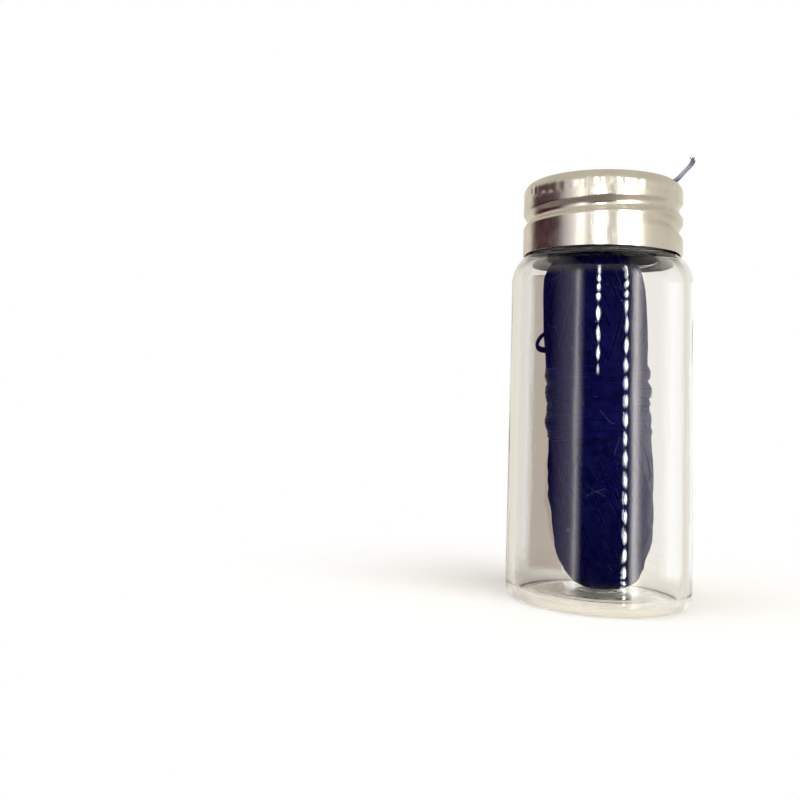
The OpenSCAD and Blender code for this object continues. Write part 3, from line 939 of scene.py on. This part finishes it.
def studioWorld(s):
    world = bpy.data.worlds.new("studio")
    bpy.context.scene.world = world
    world.use_nodes = True
    tree = world.node_tree
    tree.nodes.clear()
    way = addNode(tree, "TexCoord").outputs["Generated"]
    facing = math.radians(s["facing"])
    front = along(tree, way, (math.cos(facing), math.sin(facing), 0))
    side = along(tree, way, (-math.sin(facing), math.cos(facing), 0))
    height = split(tree, way)[2]
    path = addNode(tree, "LightPath").outputs
    inGlass = math2(tree, "GREATER_THAN", path["Transmission Depth"], 0.5)

    bright = horizonRamp(tree, s, way)  # and other colours at the two sides, for sharp reflections
    leftEdge = math2(tree, "MULTIPLY", path["Is Singular Ray"], remap(tree, side, -0.85, -0.91, 0, 0.85))
    bright = blendColours(tree, leftEdge, bright, s["underGlass"])
    rightEdge = math2(tree, "MULTIPLY", path["Is Singular Ray"], remap(tree, side, 0.78, 0.9, 0, 1))
    bright = blendColours(tree, rightEdge, bright, s["rightOfGlass"])

    ceiling = blendColours(tree, remap(tree, front, 0.25, -0.1, 0, 1), s["ceiling"], s["overhead"])
    level = remap(tree, math2(tree, "ABSOLUTE", side), 0.35, 0.6, 1, 0)
    ceiling = blendColours(tree, math2(tree, "MULTIPLY", level, inGlass), ceiling, s["underGlass"])
    colour = blendColours(tree, remap(tree, height, 0.24, 0.5, 0, 1), bright, ceiling)

    lit = math2(tree, "MAXIMUM", remap(tree, side, 0.2, 0.5, 0, 1), remap(tree, side, -0.8, -0.97, 0, 1))
    ground = blendColours(tree, lit, s["below"], s["belowSides"])
    ground = blendColours(tree, inGlass, ground, s["underGlass"])
    colour = blendColours(tree, remap(tree, height, -0.35, -0.55, 0, 1), colour, ground)

    around = addNode(tree, "Background", {0: colour, 1: 1.0})
    pale = blendColours(tree, path["Is Camera Ray"], s["seenThrough"], (1, 1, 1, 1))  # nearly white in glass
    white = addNode(tree, "Background", {0: pale, 1: 1.0})
    straight = math2(tree, "LESS_THAN", path["Glossy Depth"], 0.5)
    through = math2(tree, "MULTIPLY", path["Is Transmission Ray"], straight)
    seen = math2(tree, "MAXIMUM", path["Is Camera Ray"], through)
    addNode(tree, "OutputWorld", {"Surface": mixShaders(tree, seen, around, white)})


def studioFloor(s):
    bm = bmesh.new()
    bmesh.ops.create_circle(bm, cap_ends=True, segments=96, radius=s["floorRadius"])
    floor = bpy.data.objects.new("floor", meshOf(bm, "floor"))
    bpy.context.collection.objects.link(floor)
    material, tree = newMaterial("paleFloor")
    away = lengthOf(tree, millimetres(tree))
    path = addNode(tree, "LightPath").outputs
    colour = blendColours(tree, path["Is Camera Ray"], s["floorColour"], s["floorSeen"])
    pale = addNode(tree, "BsdfDiffuse", {"Color": colour})
    clear = addNode(tree, "BsdfTransparent")
    outside = math2(tree, "LESS_THAN", path["Transmission Depth"], 0.5)
    mirrored = math2(tree, "MULTIPLY", path["Is Glossy Ray"], outside)
    bounced = math2(tree, "GREATER_THAN", path["Glossy Depth"], 0.5)
    farOff = math2(tree, "MULTIPLY", bounced, remap(tree, away, *s["floorMirrorFade"], 0, 1))
    mirrored = math2(tree, "MAXIMUM", mirrored, farOff)
    gone = math2(tree, "MAXIMUM", remap(tree, away, *s["floorFade"], 0, 1), mirrored)
    finishMaterial(tree, mixShaders(tree, gone, pale, clear))
    floor.data.materials.append(material)


def ledMaterial(s):
    material, tree = newMaterial("ledStrip")
    place = split(tree, addNode(tree, "TexCoord").outputs["UV"])
    across = math2(tree, "MULTIPLY", math2(tree, "SUBTRACT", place[0], 0.5), s["falloff"])
    wave = math2(tree, "MULTIPLY", math2(tree, "ADD", math2(tree, "SINE", place[1]), 1.0), 0.5)
    least, more = s["spread"]
    spread = math2(tree, "ADD", math2(tree, "MULTIPLY", wave, more), least)
    squared = math2(tree, "MULTIPLY", across, across)
    soft = math2(tree, "EXPONENT", math2(tree, "DIVIDE", squared, math2(tree, "MULTIPLY", spread, -1.0)))
    dots = math2(tree, "ADD", math2(tree, "POWER", wave, s["sharpness"]), s["haze"])
    start = remap(tree, place[1], 0, fullTurn * s["fade"] / s["pitch"], 0, 1)
    glow = math2(tree, "MULTIPLY", math2(tree, "MULTIPLY", soft, dots), start)
    power = math2(tree, "MULTIPLY", glow, s["strength"])
    finishMaterial(tree, addNode(tree, "Emission", {"Color": (1, 1, 1, 1), "Strength": power}).outputs[0])
    return material


def ledStrips(s, facing):
    material = ledMaterial(s)
    for number, (azimuth, low, high) in enumerate(s["strips"]):
        bm = bmesh.new()
        bmesh.ops.create_grid(bm, x_segments=1, y_segments=1, size=0.5)
        uv = bm.loops.layers.uv.new("UVMap")
        waves = fullTurn * (high - low) / s["pitch"]
        for face in bm.faces:
            for loop in face.loops:
                loop[uv].uv = (loop.vert.co.x + 0.5, (loop.vert.co.y + 0.5) * waves)
        stand = math.radians(facing + azimuth)
        out = Vector((math.cos(stand), math.sin(stand), 0))
        side = Vector((-out.y, out.x, 0))
        for vert in bm.verts:
            vert.co = (out * s["distance"] + side * vert.co.x * s["width"]
                       + Vector((0, 0, low + (vert.co.y + 0.5) * (high - low))))
        stageOnly(f"ledStrip{number}", bm, material)


def onlyOn(light, pieces):
    lit = bpy.data.collections.new(light.name + "Lights")
    for name in pieces:
        lit.objects.link(bpy.data.objects[name])
    light.light_linking.receiver_collection = lit


def softBox(name, azimuth, elevation, distance, size, power, gloss=False):
    lamp = bpy.data.lights.new(name, "AREA")
    lamp.size = size
    lamp.energy = power
    holder = bpy.data.objects.new(name, lamp)
    bpy.context.collection.objects.link(holder)
    a, e = math.radians(azimuth), math.radians(elevation)
    out = Vector((math.cos(a) * math.cos(e), math.sin(a) * math.cos(e), math.sin(e)))
    holder.location = out * distance + Vector((0, 0, 0.03))
    holder.rotation_mode = "QUATERNION"
    holder.rotation_quaternion = out.to_track_quat("Z", "Y")
    holder.visible_glossy = gloss
    holder.visible_transmission = False
    holder.visible_camera = False
    return holder


def stageOnly(name, bm, material):
    prop = bpy.data.objects.new(name, meshOf(bm, name))
    prop.data.materials.append(material)
    bpy.context.collection.objects.link(prop)
    prop.visible_camera = False
    prop.visible_diffuse = False
    prop.visible_shadow = False
    return prop


def standCard(c, camera):
    material, tree = newMaterial(c["name"])
    place = split(tree, addNode(tree, "TexCoord").outputs["UV"])
    left = remap(tree, place[0], 0, 0.27, 0, 1)
    low = remap(tree, place[1], 0, 0.03, 0, 1)
    card = addNode(tree, "Emission", {"Color": c["colour"], "Strength": 1.0})
    clear = addNode(tree, "BsdfTransparent")
    finishMaterial(tree, mixShaders(tree, math2(tree, "MULTIPLY", left, low), clear, card))
    bm = bmesh.new()
    bmesh.ops.create_grid(bm, x_segments=1, y_segments=1, size=0.5)
    width, height = c["size"]
    corners = [v for v in bm.verts if v.co.y < 0 and v.co.x < 0]
    bmesh.ops.scale(bm, verts=bm.verts, vec=(width, height, 1))
    bmesh.ops.bevel(bm, geom=corners, offset=c["rounding"], segments=8, profile=0.5,
                    affect="VERTICES", material=-1)
    uv = bm.loops.layers.uv.new("UVMap")
    eye = Vector(camera["place"])
    aim = Vector((-eye.x, -eye.y, 0)).normalized()
    side = Vector((aim.y, -aim.x, 0))
    x, away, z = c["at"]
    for face in bm.faces:
        for loop in face.loops:
            loop[uv].uv = (loop.vert.co.x / width + 0.5, loop.vert.co.y / height + 0.5)
    for vert in bm.verts:
        vert.co = (aim * away + side * (x + vert.co.x) + Vector((0, 0, z + height / 2 + vert.co.y))) * mm
    stageOnly(c["name"], bm, material)


def curvedSheet(ends, middle, half, steps):
    bm = bmesh.new()
    start = math.radians(studio["facing"] + middle - half)
    verts = [bm.verts.new((math.cos(start) * radius, math.sin(start) * radius, z)) for radius, z in ends]
    edge = bm.edges.new(verts)
    bmesh.ops.spin(bm, geom=verts + [edge], cent=(0, 0, 0), axis=(0, 0, 1), dvec=(0, 0, 0),
                   angle=math.radians(2 * half), steps=steps)
    return bm


def glowBoard(name, b):
    material, tree = newMaterial(name)
    glow = addNode(tree, "Emission", {"Color": b["colour"], "Strength": 1.0})
    clear = addNode(tree, "BsdfTransparent")
    finishMaterial(tree, addNode(tree, "AddShader", {0: glow.outputs[0], 1: clear.outputs[0]}).outputs[0])
    ends = [(studio["boardDistance"], z) for z in (b["low"], b["high"])]
    board = stageOnly(name, curvedSheet(ends, b["middle"], b["half"], 16), material)
    board.visible_transmission = False
    return board


def hangFlag(f):
    material, tree = newMaterial("darkFlag")
    above = addNode(tree, "NewGeometry").outputs["Backfacing"]
    onGlass = addNode(tree, "LightPath").outputs["Is Singular Ray"]  # a sharp reflection, so not the steel's
    hidden = math2(tree, "MAXIMUM", math2(tree, "SUBTRACT", 1, onGlass), above)
    dark = addNode(tree, "Emission", {"Color": f["colour"], "Strength": 1.0})
    clear = addNode(tree, "BsdfTransparent")
    finishMaterial(tree, mixShaders(tree, hidden, dark, clear))
    ends = [(radius * mm, f["z"] * mm) for radius in (f["inner"], f["outer"])]
    bm = curvedSheet(ends, 0, f["half"], 32)
    bm.normal_update()
    bmesh.ops.reverse_faces(bm, faces=[face for face in bm.faces if face.normal.z > 0])
    flag = stageOnly("shoulderFlag", bm, material)
    flag.visible_transmission = False


scene = bpy.context.scene
scene.view_settings.view_transform = "Standard"
scene.cycles.max_bounces = 24
scene.cycles.glossy_bounces = 12
scene.cycles.transmission_bounces = 24
studioWorld(studio)
studioFloor(studio)
ledStrips(leds, studio["facing"])
for card in cards:
    standCard(card, photoCamera)
hangFlag(shoulderFlag)
softBox("keyLight", studio["facing"] + 55, 50, 0.6, 0.5, 3.0)
softBox("fillLight", studio["facing"] - 60, 40, 0.7, 0.6, 2.0)
kick = softBox("flossKick", studio["facing"] + 122, -2, 0.4, 0.3, 7.5, gloss=True)
kick.visible_diffuse = False
onlyOn(kick, ["flossCore", "flossWindings", "waistBand", "looseLoop"])
for number, board in enumerate(steelBoards):
    onlyOn(glowBoard(f"steelBoard{number}", board), ["capSheet", "cutterTongue"])
print("studio done")
